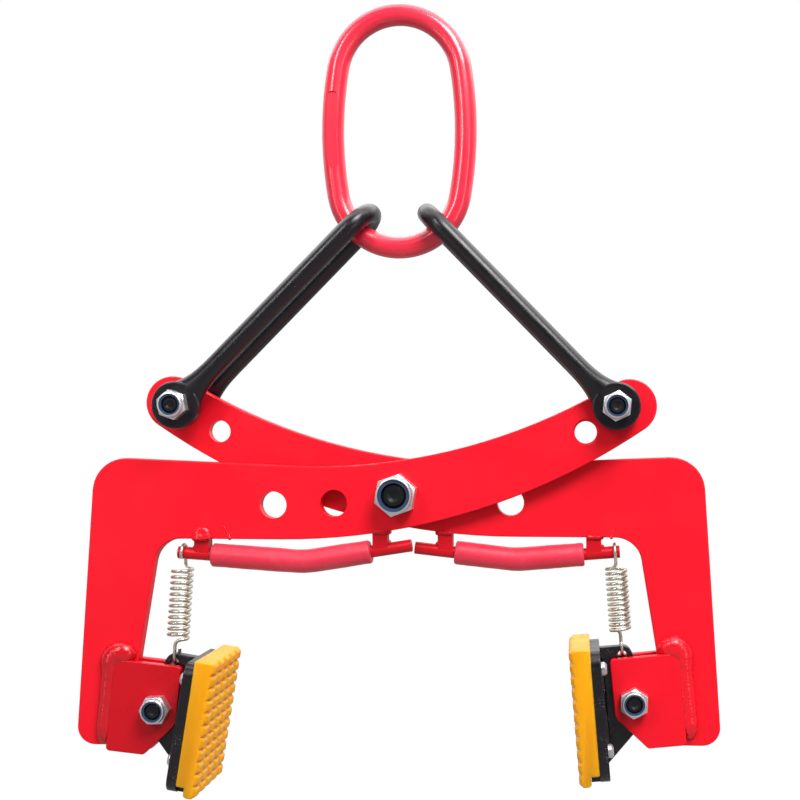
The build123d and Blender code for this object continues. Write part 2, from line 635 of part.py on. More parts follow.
def bolt(thread, flats, head_height, grip, nut_height):
    """Hexagon bolt along Z: head below the grip length, shank ending in a dished tip just inside the nut."""
    length = grip + nut_height - BOLT_END_RECESS
    shank = Cylinder(thread / 2, length, align=(Align.CENTER, Align.CENTER, Align.MIN))
    shank = chamfer(shank.edges().sort_by(Axis.Z)[-1], thread * BOLT_TIP_SHARE)
    dish_radius = thread * BOLT_DISH_SHARE / 2
    dish = Cone(dish_radius / 2, dish_radius, thread * BOLT_DISH_DEPTH_SHARE,
                align=(Align.CENTER, Align.CENTER, Align.MAX))
    head = Rot(180, 0, 0) * hexagon(flats, head_height)
    return shank - Pos(0, 0, length) * dish + head


def bolted_joint(name, x, z, front, back, spin, sizes):
    """Bolt, nut and insert of one joint between a front and a back face."""
    thread, flats, nut_height, head_height = sizes
    nut_place = fastener_place(x, z, front, spin)
    bolt_place = fastener_place(x, z, back, spin)
    return {
        name + "_bolt": bolt_place * bolt(thread, flats, head_height, back - front, nut_height),
        name + "_nut": nut_place * lock_nut(thread, flats, nut_height),
        name + "_nut_insert": nut_place * nut_insert(thread, flats, nut_height),
    }


def arm_set(side, arm_name, place, blank, handle, pad_mount):
    """Everything that hangs on one arm, placed in the whole clamp."""
    outline_shift, pivot_holes, spare_eye = blank
    rod, posts = handle
    bolt_place, lean = pad_mount
    pad = pad_place(bolt_place, lean)
    return {
        arm_name + "_plate": place * arm_plate(outline_shift, pivot_holes, spare_eye),
        side + "_inner_cheek": place * cheek(bolt_place, 1),
        side + "_outer_cheek": place * cheek(bolt_place, -1),
        side + "_handle_rod": place * rod_tube(rod, ROD_DIAMETER),
        side + "_handle_posts": place * rod_posts(rod, posts, outline_shift),
        side + "_handle_grip": place * grip_sleeve(rod, posts),
        side + "_pad_spring": place * spring(rod, pad),
        side + "_pad_plate": place * (pad * pad_plate()),
        side + "_pad_lug": place * (pad * pad_lug()),
        side + "_grip_face": place * (pad * grip_face()),
        side + "_pad_screws": place * (pad * pad_screws()),
    }


def clamp():
    """All the pieces by name, with the pivot axis at the origin."""
    pivot = (PIVOT_THREAD, PIVOT_FLATS, PIVOT_NUT_HEIGHT, PIVOT_HEAD_HEIGHT)
    joint = (JOINT_THREAD, JOINT_FLATS, JOINT_NUT_HEIGHT, JOINT_HEAD_HEIGHT)
    hang = Location((0, 0, LINK_LOW_CENTRE_Z), (0, 90 - SHACKLE_ANGLE, 0))
    pieces = {"master_link": master_link()}
    pieces["right_shackle"] = hang * shackle()
    pieces["left_shackle"] = HALF_TURN * (hang * shackle())
    front_blank = (FRONT_OUTLINE_SHIFT, FRONT_PIVOT_HOLES, FRONT_SPARE_EYE)
    rear_blank = (REAR_OUTLINE_SHIFT, REAR_PIVOT_HOLES, REAR_SPARE_EYE)
    front_handle, rear_handle = (FRONT_ROD, FRONT_POSTS), (REAR_ROD, REAR_POSTS)
    front_pad, rear_pad = (FRONT_PAD_BOLT, FRONT_PAD_LEAN), (REAR_PAD_BOLT, REAR_PAD_LEAN)
    pieces.update(arm_set("left", "front_arm", FRONT_ARM, front_blank, front_handle, front_pad))
    pieces.update(arm_set("right", "rear_arm", REAR_ARM, rear_blank, rear_handle, rear_pad))

    spacer = pin(SPACER_DIAMETER, -ARM_SPACING / 2 + SPACER_PLAY, ARM_SPACING / 2 - SPACER_PLAY)
    pieces["pivot_spacer"] = spacer - pin(PIVOT_HOLE_DIAMETER, -ARM_SPACING, ARM_SPACING)
    arms_outer = ARM_OFFSET + ARM_THICKNESS / 2
    pieces.update(bolted_joint("pivot", 0, 0, -arms_outer, arms_outer, PIVOT_NUT_SPIN, pivot))
    front, back = -SHACKLE_OUTER_Y, SHACKLE_OUTER_Y
    pieces.update(bolted_joint("right_eye", EYE_X, EYE_Z, front, back, EYE_NUT_SPINS[1], joint))
    pieces.update(bolted_joint("left_eye", -EYE_X, EYE_Z, front, back, EYE_NUT_SPINS[0], joint))
    front, back = -ARM_OFFSET - CHEEK_OUTER_Y, -ARM_OFFSET + CHEEK_OUTER_Y
    x, z = FRONT_PAD_BOLT
    pieces.update(bolted_joint("left_pad", x, z, front, back, PAD_NUT_SPINS[0], joint))
    front, back = ARM_OFFSET - CHEEK_OUTER_Y, ARM_OFFSET + CHEEK_OUTER_Y
    x, z = REAR_PAD_BOLT
    pieces.update(bolted_joint("right_pad", -x, z, front, back, PAD_NUT_SPINS[1], joint))
    return pieces


# The origin is the seat of the crane hook, inside the top of the master link
os.makedirs("parts", exist_ok=True)
for node, shape in clamp().items():
    export_step(Pos(0, 0, -HOOK_SEAT_Z) * shape, f"parts/{node}.step")
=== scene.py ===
import bpy
import bmesh
import json
import math
from mathutils import Matrix, Vector, noise

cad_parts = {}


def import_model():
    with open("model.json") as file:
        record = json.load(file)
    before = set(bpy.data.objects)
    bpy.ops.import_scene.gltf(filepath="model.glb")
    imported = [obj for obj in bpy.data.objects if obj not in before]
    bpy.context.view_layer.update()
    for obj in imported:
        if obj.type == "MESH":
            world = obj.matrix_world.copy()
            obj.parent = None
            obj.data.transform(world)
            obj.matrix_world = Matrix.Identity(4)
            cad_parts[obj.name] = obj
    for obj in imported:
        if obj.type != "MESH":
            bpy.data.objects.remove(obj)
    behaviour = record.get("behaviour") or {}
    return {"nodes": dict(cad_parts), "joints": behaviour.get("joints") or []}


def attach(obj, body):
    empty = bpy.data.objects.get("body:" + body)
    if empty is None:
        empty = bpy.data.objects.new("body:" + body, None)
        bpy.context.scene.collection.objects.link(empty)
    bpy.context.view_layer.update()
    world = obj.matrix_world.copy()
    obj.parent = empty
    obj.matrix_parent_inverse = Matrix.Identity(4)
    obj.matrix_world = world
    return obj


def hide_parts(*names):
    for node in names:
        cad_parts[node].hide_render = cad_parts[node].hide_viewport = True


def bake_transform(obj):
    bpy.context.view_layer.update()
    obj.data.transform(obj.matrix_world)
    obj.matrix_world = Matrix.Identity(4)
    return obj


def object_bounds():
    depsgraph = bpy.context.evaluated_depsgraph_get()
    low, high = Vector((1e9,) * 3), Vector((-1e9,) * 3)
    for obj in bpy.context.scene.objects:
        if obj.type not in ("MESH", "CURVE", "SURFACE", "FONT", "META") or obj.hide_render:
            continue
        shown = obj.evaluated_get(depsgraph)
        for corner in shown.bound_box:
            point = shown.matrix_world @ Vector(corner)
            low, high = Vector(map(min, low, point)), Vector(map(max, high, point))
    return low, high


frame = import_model()
cad_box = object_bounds()

# The noise that shifts the weld beads starts from this seed, so each run gives the same shapes
noise.seed_set(4)

MM = 0.001
JOINTS = {joint["name"]: Vector(joint["pos_m"]) for joint in frame["joints"]}
PIVOT = JOINTS["scissor"]
SIDES = ("left", "right")
ARM_BODY = {"left": "front_arm", "right": "rear_arm"}
# The left cheek's weld takes a darker copy of the weld paint, as painted shade
WELD_COAT = {"left": "deep_weld", "right": "weld"}

# The two faces of a plate, and which way each looks along Y in the arm's own frame
FACES = (("front", -1), ("back", 1))

# Camera: where it stands, seen from the pivot, which way it looks, and what its lens takes in
VIEWPOINT_AZIMUTH = 8.4
VIEWPOINT_ELEVATION = 3.0
VIEWPOINT_DISTANCE = 0.90
LOOK_YAW = 2.4
LOOK_PITCH = 1.6
LOOK_ROLL = 0.19
FOCAL_PIXELS = 1226.0
CENTRE_PIXEL = (528.0, 464.0)
IMAGE_PIXELS = 800.0
SENSOR = 36.0

# Arms and bracket cheeks, in millimetres and degrees as in the solids
ARM_OFFSET = 6.0
ARM_HALF = 5.0
BEAM_UNDERSIDE = {"left": -33.0, "right": -31.0}
CHEEK_TILT = 6.0
CHEEK_TO_LEG = 35.0
CHEEK_TO_LEG_EDGE = 20.0
CHEEK_ABOVE = 32.0
CHEEK_BELOW = 35.0

# Handle rods, their posts and sleeves, in the frame of one arm
ROD = {
    "left": [(-161.0, -43.3), (-68.0, -49.5), (10.0, -37.0)],
    "right": [(-161.0, -41.6), (-85.0, -48.0), (-11.0, -39.8)],
}
ROD_RADIUS = 4.5
ROD_BEND_RADIUS = 70.0
POSTS = {"left": (-143.0, -12.5), "right": (-142.0, -33.5)}
POST_TOPS = {"left": (BEAM_UNDERSIDE["left"], -27.4), "right": (BEAM_UNDERSIDE["right"], -28.3)}
POST_WIDTH = 11.0
POST_HALF_DEPTH = 4.3
SLEEVE_RADIUS = 8.8
SLEEVE_BORE = 4.6
SLEEVE_TO_POST = 1.0

# Pads, from the pad bolt before they lean: U towards the stone, Z up
PAD_LEAN = {"left": 9.2, "right": 5.0}
PAD_HALF_WIDTH = 35.0
PLATE_BACK_U = 21.5
FACE_BACK_U = 28.5
FACE_FRONT_U = 41.0
FACE_TOP = 44.5
FACE_BOTTOM = -53.2
LIP_TOP = -46.0
NOSE_U = 36.0
LUG_HALF = 4.0
LUG_FOOT = -45.0
LUG_TOP = 40.0
HOOK_HOLE = (5.5, 33.5)

# Studs: the flank is the share of half a stud's pitch that its slope takes up, the steps are the mesh's
STUD_HEIGHT = 2.8
STUD_ROWS = 11
STUD_COLUMNS = 5
STUD_FLANK = 0.55
STUD_STEPS = 10

# Springs: the wire is drawn a little thicker than the solid's
SPRING_WIRE_RADIUS = 1.25
SPRING_COIL_RADIUS = 7.0
SPRING_COILS = 12
SPRING_HOOK_RADIUS = 5.9
SPRING_TURN_IN = 5.0
SPRING_HOOK_RISE = 12.0
SPRING_HOOK_TURN = 215.0
SPRING_INSET = 3.5


def arm_matrix(side):
    """Millimetres in one arm's own frame, from the pivot, to metres in the row frame."""
    place = Matrix.Translation(PIVOT) @ Matrix.Scale(MM, 4)
    if side == "left":
        return place @ Matrix.Translation((0, -ARM_OFFSET, 0))
    return place @ Matrix.Translation((0, ARM_OFFSET, 0)) @ Matrix.Rotation(math.pi, 4, "Z")


def bolt_place(side):
    """Pad bolt in the arm's frame, in millimetres."""
    return arm_matrix(side).inverted() @ JOINTS[side + "_pad_tilt"]


def leaning_matrix(side, angle):
    """Millimetres from the pad bolt, leaning by an angle, to metres in the row frame."""
    lean = Matrix.Rotation(math.radians(angle), 4, "Y")
    return arm_matrix(side) @ Matrix.Translation(bolt_place(side)) @ lean


def pad_matrix(side):
    """Millimetres from the pad bolt, leaning as the pad does, to metres in the row frame."""
    return leaning_matrix(side, PAD_LEAN[side])


# Meshes
def mesh_piece(name, verts, faces, material, sharp=50.0):
    """A mesh object with outward normals, smooth but for edges sharper than an angle."""
    mesh = bpy.data.meshes.new(name)
    mesh.from_pydata([tuple(v) for v in verts], [], faces)
    bm = bmesh.new()
    bm.from_mesh(mesh)
    bmesh.ops.recalc_face_normals(bm, faces=bm.faces)
    bm.to_mesh(mesh)
    bm.free()
    mesh.shade_smooth()
    mesh.set_sharp_from_angle(angle=math.radians(sharp))
    mesh.materials.append(material)
    piece = bpy.data.objects.new(name, mesh)
    bpy.context.scene.collection.objects.link(piece)
    return piece


def skin(rings, looped=False):
    """Vertices and faces over rings of points; looped joins the last ring to the first."""
    sides = len(rings[0])
    count = len(rings)
    faces = []
    for i in range(count if looped else count - 1):
        low = i * sides
        high = (i + 1) % count * sides
        for j in range(sides):
            k = (j + 1) % sides
            faces.append((low + j, low + k, high + k, high + j))
    if not looped:
        faces.append(tuple(range(sides)))
        faces.append(tuple(range((count - 1) * sides, count * sides)))
    return [p for ring in rings for p in ring], faces


def crosswise(points):
    """Two cross directions at each point of a line, carried along it without twist."""
    last = len(points) - 1
    side = None
    pairs = []
    for i in range(len(points)):
        along = (points[min(i + 1, last)] - points[max(i - 1, 0)]).normalized()
        side = along.orthogonal() if side is None else side - along * side.dot(along)
        side = side.normalized()
        pairs.append((side, along.cross(side)))
    return pairs


def tube_rings(points, radii, sides):
    """Rings of points round a line, each with its own radius."""
    turns = [2 * math.pi * j / sides for j in range(sides)]
    rings = []
    for point, radius, (a, b) in zip(points, radii, crosswise(points)):
        rings.append([point + (a * math.cos(t) + b * math.sin(t)) * radius for t in turns])
    return rings


def resample(points, step):
    """Points at an even step along a line of straight runs."""
    out = [points[0]]
    for a, b in zip(points, points[1:]):
        count = max(1, round((b - a).length / step))
        out += [a.lerp(b, i / count) for i in range(1, count + 1)]
    return out


def arc(centre, radius, start, end, count):
    """Points on an arc in the X and Z plane, angles in degrees."""
    angles = [math.radians(start + (end - start) * i / count) for i in range(count + 1)]
    return [Vector((centre[0] + radius * math.cos(t), 0, centre[1] + radius * math.sin(t))) for t in angles]


# Materials
def srgb(red, green, blue):
    """A colour as seen on screen, 0 to 255, as the linear colour that shaders take."""
    linear = []
    for value in (red, green, blue):
        c = value / 255
        linear.append(c / 12.92 if c <= 0.04045 else ((c + 0.055) / 1.055) ** 2.4)
    return (*linear, 1.0)


def link_value(tree, value, socket):
    """Wires an output to a socket, or sets the socket to a number or a colour."""
    if hasattr(value, "links"):
        tree.links.new(value, socket)
    else:
        socket.default_value = value


class Finish:
    """A procedural material: two shades in patches, a roughness range and a fine surface relief.

    The patches' scale is per metre. The relief is a grain per metre, a strength and a depth in metres.
    """

    def __init__(self, name, shades, patch, rough, relief, **shader):
        self.material = bpy.data.materials.new(name)
        self.material.use_nodes = True
        self.tree = self.material.node_tree
        self.shader = self.tree.nodes["Principled BSDF"]
        for socket, value in shader.items():
            self.shader.inputs[socket.replace("_", " ")].default_value = value
        grain, self.strength, self.depth = relief
        self.place = self.node("ShaderNodeTexCoord").outputs["Object"]
        self.colour = self.mix(self.cloud(patch, 3.0), srgb(*shades[0]), srgb(*shades[1]))
        self.roughness = self.spread(self.cloud(patch * 2.7, 4.0), 0.3, 0.7, *rough)
        self.height = self.cloud(grain, 2.0)

    def node(self, kind, **settings):
        made = self.tree.nodes.new(kind)
        for name, value in settings.items():
            setattr(made, name, value)
        return made

    def wire(self, source, node, socket):
        link_value(self.tree, source, node.inputs[socket])

    def cloud(self, scale, detail):
        """Soft noise, about 0.3 to 0.7."""
        made = self.node("ShaderNodeTexNoise")
        made.inputs["Scale"].default_value = scale
        made.inputs["Detail"].default_value = detail
        self.wire(self.place, made, "Vector")
        return made.outputs["Fac"]

    def spread(self, value, low, high, to_low, to_high):
        """A value's range stretched to another range, and cut off there."""
        made = self.node("ShaderNodeMapRange")
        for socket, entry in enumerate((value, low, high, to_low, to_high)):
            self.wire(entry, made, socket)
        return made.outputs[0]

    def specks(self, scale, detail, low, high, most=1.0):
        """0 where soft noise is under one level, rising to the most at another."""
        return self.spread(self.cloud(scale, detail), low, high, 0.0, most)

    def mix(self, share, first, second):
        made = self.node("ShaderNodeMix", data_type="RGBA")
        self.wire(share, made, 0)
        self.wire(first, made, 6)
        self.wire(second, made, 7)
        return made.outputs[2]

    def times(self, first, second):
        made = self.node("ShaderNodeMath", operation="MULTIPLY")
        self.wire(first, made, 0)
        self.wire(second, made, 1)
        return made.outputs[0]

    def tint(self, share, colour):
        """Lays another colour over the finish where the share is high."""
        self.colour = self.mix(share, self.colour, srgb(*colour))

    def edges(self, radius):
        """About 1 along sharp edges and 0 on flats."""
        made = self.node("ShaderNodeBevel", samples=4)
        made.inputs["Radius"].default_value = radius
        flat = self.node("ShaderNodeNewGeometry").outputs["Normal"]
        dot = self.node("ShaderNodeVectorMath", operation="DOT_PRODUCT")
        self.wire(made.outputs["Normal"], dot, 0)
        self.wire(flat, dot, 1)
        return self.spread(dot.outputs["Value"], 0.98, 0.80, 0.0, 1.0)

    def gap_shade(self, reach):
        """About 1 deep in narrow gaps and 0 in the open: the mask for painted shade in gaps."""
        made = self.node("ShaderNodeAmbientOcclusion", samples=8)
        made.inputs["Distance"].default_value = reach
        return self.spread(made.outputs["AO"], 0.15, 0.65, 1.0, 0.0)

    def done(self):
        bump = self.node("ShaderNodeBump")
        bump.inputs["Strength"].default_value = self.strength
        bump.inputs["Distance"].default_value = self.depth
        self.wire(self.height, bump, "Height")
        self.wire(bump.outputs["Normal"], self.shader, "Normal")
        self.wire(self.colour, self.shader, "Base Color")
        self.wire(self.roughness, self.shader, "Roughness")
        return self.material


def red_paint(name, shades, rough, gloss):
    """Sprayed enamel: faint orange peel, dark nicks along the edges, and painted shade darkening narrow
    gaps.
    """
    edge_width = 0.0012
    gap_reach = 0.02
    most_gap_shade = 0.4
    coat = Finish(name, shades, patch=14.0, rough=rough,
                  relief=(900.0, 0.10, 0.0006), Specular_IOR_Level=gloss)
    coat.tint(coat.times(coat.edges(edge_width), coat.specks(190.0, 3.0, 0.66, 0.70)), (70, 14, 22))
    # Painted shade: the red turns deep red in narrow gaps between parts, as shadow would darken it
    coat.tint(coat.times(coat.gap_shade(gap_reach), most_gap_shade), (110, 6, 18))
    return coat.done()


def link_paint():
    """Thick gloss coat on the forged link, a little pinker, with soft waves in it."""
    coat = Finish("link_paint", [(228, 24, 54), (239, 37, 67)], patch=22.0, rough=(0.30, 0.42),
                  relief=(140.0, 0.05, 0.002), Specular_IOR_Level=0.4, Coat_Weight=1.0, Coat_Roughness=0.17)
    return coat.done()


def black_enamel(name, speckle, rough):
    """Black enamel over a forged or sawn skin, with dust in the coat and a pitted relief."""
    coat = Finish(name, [(12, 7, 13), (20, 14, 21)], patch=40.0, rough=rough,
                  relief=(150.0, 0.10, 0.0012), Specular_IOR_Level=0.5)
    dust = coat.specks(900.0, 2.0, 0.66 - speckle, 0.74 - speckle, most=0.6)
    dusty_patches = coat.specks(60.0, 3.0, 0.52, 0.66)
    coat.tint(coat.times(dust, dusty_patches), (150, 146, 150))
    return coat.done()


def zinc():
    """Bright zinc plate with a fine grain and duller patches."""
    plate = Finish("zinc_plate", [(196, 198, 203), (228, 229, 232)], patch=60.0, rough=(0.30, 0.44),
                   relief=(400.0, 0.04, 0.0005), Metallic=0.85)
    plate.tint(plate.specks(240.0, 3.0, 0.60, 0.72, most=0.4), (150, 146, 138))
    return plate.done()


def bolt_steel():
    """Blackened steel of the bolts, oily and dark."""
    steel = Finish("bolt_steel", [(10, 10, 13), (26, 26, 30)], patch=90.0, rough=(0.34, 0.50),
                   relief=(500.0, 0.2, 0.0006), Specular_IOR_Level=0.25)
    return steel.done()


def nylon():
    """Blue-grey nylon of the lock rings."""
    ring = Finish("nylon_ring", [(30, 46, 74), (56, 78, 112)], patch=120.0, rough=(0.25, 0.38),
                  relief=(800.0, 0.08, 0.0004), Specular_IOR_Level=0.6)
    return ring.done()


def spring_wire():
    """Drawn wire with a yellowish zinc coat."""
    wire = Finish("spring_wire", [(178, 174, 158), (228, 226, 214)], patch=160.0, rough=(0.22, 0.40),
                  relief=(900.0, 0.1, 0.0004), Metallic=0.9)
    return wire.done()


def sleeve_rubber():
    """Matte red rubber tube, pale where it is dusty and rubbed."""
    rubber = Finish("sleeve_rubber", [(224, 36, 64), (238, 52, 80)], patch=30.0, rough=(0.38, 0.52),
                    relief=(420.0, 0.16, 0.0008), Specular_IOR_Level=0.5, Sheen_Weight=0.2)
    rubber.tint(rubber.specks(75.0, 4.0, 0.55, 0.75, most=0.35), (248, 88, 110))
    return rubber.done()


def pad_rubber():
    """Cast polyurethane that light sinks into, amber yellow, slightly deeper and paler in patches."""
    rubber = Finish("pad_rubber", [(252, 162, 0), (255, 177, 1)], patch=26.0, rough=(0.30, 0.42),
                    relief=(300.0, 0.08, 0.0008), Specular_IOR_Level=0.4, Subsurface_Weight=0.6,
                    Subsurface_Radius=(1.0, 0.5, 0.1), Subsurface_Scale=0.008)
    return rubber.done()


def finishes():
    """Finishes of the solids and of the welds on them, by short names."""
    bright = [(244, 15, 36), (251, 24, 45)]
    glossy = [(240, 14, 34), (250, 22, 44)]
    # A darker red: the handle rods' and posts' paint, and painted shade on the left outer cheek
    deep = [(200, 10, 26), (216, 16, 34)]
    return {
        "red": red_paint("red_paint", bright, rough=(0.32, 0.44), gloss=0.25),
        "deep": red_paint("deep_red_paint", deep, rough=(0.26, 0.38), gloss=0.3),
        "weld": red_paint("weld_paint", glossy, rough=(0.18, 0.28), gloss=0.45),
        # Painted shade: a darker copy of the weld paint, for the left cheek's weld
        "deep_weld": red_paint("deep_weld_paint", deep, rough=(0.16, 0.26), gloss=0.5),
        "link": link_paint(),
        "shackle": black_enamel("shackle_enamel", speckle=-0.03, rough=(0.26, 0.36)),
        "plate": black_enamel("plate_enamel", speckle=0.07, rough=(0.20, 0.36)),
        "zinc": zinc(),
        "bolt": bolt_steel(),
        "nylon": nylon(),
    }


def dress_solids(paints):
    """Gives every visible solid its finish, by what the piece is."""
    endings = [
        ("_insert", "nylon"), ("_bolt", "bolt"), ("_nut", "zinc"), ("_screws", "zinc"), ("_spacer", "zinc"),
        ("_shackle", "shackle"), ("_pad_plate", "plate"), ("_pad_lug", "plate"), ("master_link", "link"),
        # The left outer cheek takes the darker red as painted shade, where the left pad keeps light off it
        ("left_outer_cheek", "deep"), ("_handle_rod", "deep"), ("_handle_posts", "deep"), ("", "red"),
    ]
    for name, node in frame["nodes"].items():
        kind = next(paint for ending, paint in endings if name.endswith(ending))
        node.data.materials.clear()
        node.data.materials.append(paints[kind])


# Pieces that stand for soft and wound solids
def bent_line(rod, step):
    """Points along a bent rod's centre line: two straight runs and the bend between them."""
    a, b, c = (Vector((x, 0, z)) for x, z in rod)
    first = (b - a).normalized()
    second = (c - b).normalized()
    turn = first.angle(second)
    back = ROD_BEND_RADIUS * math.tan(turn / 2)
    start = b - first * back
    end = b + second * back
    count = 12
    bend = []
    for i in range(count + 1):
        t = i / count
        bend.append(start * (1 - t) ** 2 + b * 2 * t * (1 - t) + end * t * t)
    return resample([a] + bend + [c], step)


def sleeve(side, material):
    """Rubber sleeve between the posts: a thick tube with soft lips and a little unevenness."""
    sides = 28
    step = 1.0
    slack = 0.2
    lip_depth = 0.9
    lip_length = 1.2
    low = POSTS[side][0] + POST_WIDTH / 2 + SLEEVE_TO_POST
    high = POSTS[side][1] - POST_WIDTH / 2 - SLEEVE_TO_POST
    line = [p for p in bent_line(ROD[side], step) if low <= p.x <= high]
    outer = []
    for i, p in enumerate(line):
        end = min(i, len(line) - 1 - i)
        lip = lip_depth * max(0.0, 1 - end / lip_length) ** 2
        wave = 0.22 * noise.noise(p * 0.06) + 0.10 * noise.noise(p * 0.3)
        outer.append(SLEEVE_RADIUS - slack + wave - lip)
    bore = [SLEEVE_BORE] * len(line)
    rings = tube_rings(line, outer, sides) + list(reversed(tube_rings(line, bore, sides)))
    verts, faces = skin(rings, looped=True)
    matrix = arm_matrix(side)
    piece = mesh_piece(side + "_sleeve", [matrix @ v for v in verts], faces, material)
    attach(piece, ARM_BODY[side])
    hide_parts(side + "_handle_grip")


def stud_swell(place, count, edge):
    """Height of a row of flat-topped studs, 0 to 1, at a place from 0 to 1 along the row.

    The edge is the least rise on the outer flanks of the row's two end studs.
    """
    roundness = 1.2
    studs = place * count
    phase = studs % 1.0
    rise = min(phase, 1 - phase) / 0.5
    if studs < 0.5 or (studs > count - 0.5 and phase >= 0.5):
        rise = max(rise, edge)
    rise = min(1.0, rise / STUD_FLANK)
    return math.sin(rise * math.pi / 2) ** roundness


def face_profile(across):
    """Outline of the grip face at one place across it, from 0 to 1: studs in front, step behind."""
    soft = 0.8
    bulge = soft * 0.2
    side_edge = 0.15
    steps = STUD_ROWS * STUD_STEPS
    points = []
    for i in range(steps + 1):
        down = i / steps
        z = FACE_TOP + (FACE_BOTTOM - FACE_TOP) * down
        swell = stud_swell(down, STUD_ROWS, 0.0) * stud_swell(across, STUD_COLUMNS, side_edge)
        points.append((FACE_FRONT_U + STUD_HEIGHT * swell, z))
    points += [(FACE_FRONT_U - 2 * soft, FACE_BOTTOM - bulge), (NOSE_U + soft, FACE_BOTTOM)]
    points += [(NOSE_U, FACE_BOTTOM + soft), (NOSE_U, LIP_TOP), (FACE_BACK_U + soft, LIP_TOP)]
    points += [(FACE_BACK_U, LIP_TOP + soft), (FACE_BACK_U, FACE_TOP - soft), (FACE_BACK_U + soft, FACE_TOP)]
    points += [(FACE_FRONT_U - 2 * soft, FACE_TOP + bulge)]
    return points


def grip_cover(side, material):
    """Studded face of one pad, lofted across its width with soft outer edges."""
    # Places by one outer edge, as shares of the width, and how far the outline is drawn in there
    edge_inset = {0.0: 1.0, 0.004: 0.45, 0.010: 0.12}
    steps = STUD_COLUMNS * STUD_STEPS
    places = list(edge_inset) + [i / steps for i in range(1, steps)]
    places += [1 - p for p in reversed(edge_inset)]
    insets = dict(edge_inset)
    insets.update({1 - p: inset for p, inset in edge_inset.items()})
    middle = Vector(((FACE_BACK_U + FACE_FRONT_U) / 2, 0, (FACE_TOP + FACE_BOTTOM) / 2))
    rings = []
    for place in places:
        inset = insets.get(place, 0.0)
        y = (2 * place - 1) * PAD_HALF_WIDTH
        ring = []
        for u, z in face_profile(place):
            inward = Vector((middle.x - u, 0, middle.z - z))
            pull = Vector((math.copysign(min(abs(inward.x), inset), inward.x), 0,
                           math.copysign(min(abs(inward.z), inset), inward.z)))
            ring.append(Vector((u, y, z)) + pull)
        rings.append(ring)
    verts, faces = skin(rings)
    matrix = pad_matrix(side)
    piece = mesh_piece(side + "_grip_cover", [matrix @ v for v in verts], faces, material, sharp=62.0)
    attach(piece, side + "_pad")
    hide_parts(side + "_grip_face")


def smooth_join(start, start_way, end, end_way, count):
    """Points between two places, leaving and arriving along given directions."""
    lead_share = 0.55
    reach = (end - start).length * lead_share
    a, b, c, d = start, start + start_way * reach, end - end_way * reach, end
    points = []
    for i in range(1, count):
        t = i / count
        s = 1 - t
        points.append(a * s**3 + b * 3 * s * s * t + c * 3 * s * t * t + d * t**3)
    return points


def half_spring(length):
    """Wire line from the middle of a spring up to the end of its hook, axis along Z."""
    per_turn = 28
    hook_steps = 26
    join_steps = 10
    coil_half = length / 2 - SPRING_HOOK_RISE
    count = SPRING_COILS // 2 * per_turn
    coil = []
    for i in range(count + 1):
        t = 2 * math.pi * i / per_turn
        rise = coil_half * i / count
        coil.append(Vector((SPRING_COIL_RADIUS * math.cos(t), SPRING_COIL_RADIUS * math.sin(t), rise)))
    hook = []
    for i in range(hook_steps + 1):
        t = math.radians(SPRING_HOOK_TURN * i / hook_steps)
        rise = length / 2 + SPRING_HOOK_RADIUS * math.sin(t)
        hook.append(Vector((0, SPRING_HOOK_RADIUS * math.cos(t), rise)))
    leave = (coil[-1] - coil[-2]).normalized()
    shank = Vector((0, SPRING_HOOK_RADIUS, coil_half + SPRING_TURN_IN))
    join = smooth_join(coil[-1], leave, shank, Vector((0, 0, 1)), join_steps)
    return coil + join + [shank] + hook


def spring(side, material):
    """Wound extension spring from the rod's end to the hole in the pad's lug."""
    wire_sides = 10
    x = ROD[side][0][0] + SPRING_INSET
    (x0, z0), (x1, z1) = ROD[side][0], ROD[side][1]
    top = Vector((x, 0, z0 + (x - x0) * (z1 - z0) / (x1 - x0)))
    hole = arm_matrix(side).inverted() @ (pad_matrix(side) @ Vector((HOOK_HOLE[0], 0, HOOK_HOLE[1])))
    axis = (top - hole).normalized()
    length = (top - hole).length - SPRING_HOOK_RADIUS
    upper = half_spring(length)
    lower = [Vector((p.x, -p.y, -p.z)) for p in reversed(upper[1:])]
    across = Vector((0, 1, 0)).cross(axis)
    turn = Matrix((across, axis.cross(across), axis)).transposed().to_4x4()
    matrix = arm_matrix(side) @ Matrix.Translation(top - axis * (length / 2)) @ turn
    line = lower + upper
    verts, faces = skin(tube_rings(line, [SPRING_WIRE_RADIUS] * len(line), wire_sides))
    piece = mesh_piece(side + "_spring_wire", [matrix @ v for v in verts], faces, material)
    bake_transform(piece)
    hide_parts(side + "_pad_spring")


# Weld beads and paint runs, all with the coat of what they lie on
def closing(line):
    """Shares from 0 to 1 along a line that round off its two ends."""
    rounded_share = 0.16
    least = 0.03
    last = len(line) - 1
    shares = []
    for i in range(last + 1):
        end = min(1.0, min(i, last - i) / (rounded_share * last))
        shares.append(math.sqrt(max(least, 1 - (1 - end) ** 2)))
    return shares


def bead(name, matrix, points, radius, ripple, body, material):
    """One round weld bead along a line, in the frame of a matrix, in millimetres."""
    step = 0.8
    sides = 16
    elsewhere = Vector((7, 3, 1))
    line = resample(points, step)
    lumps = [1 + ripple * noise.noise(p * 0.16) + 0.4 * ripple * noise.noise(p * 0.55) for p in line]
    radii = [radius * share * lump for share, lump in zip(closing(line), lumps)]
    line = [p + noise.noise_vector(p * 0.2 + elsewhere) * ripple * 2.0 for p in line]
    verts, faces = skin(tube_rings(line, radii, sides))
    piece = mesh_piece(name, [matrix @ v for v in verts], faces, material)
    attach(piece, body)


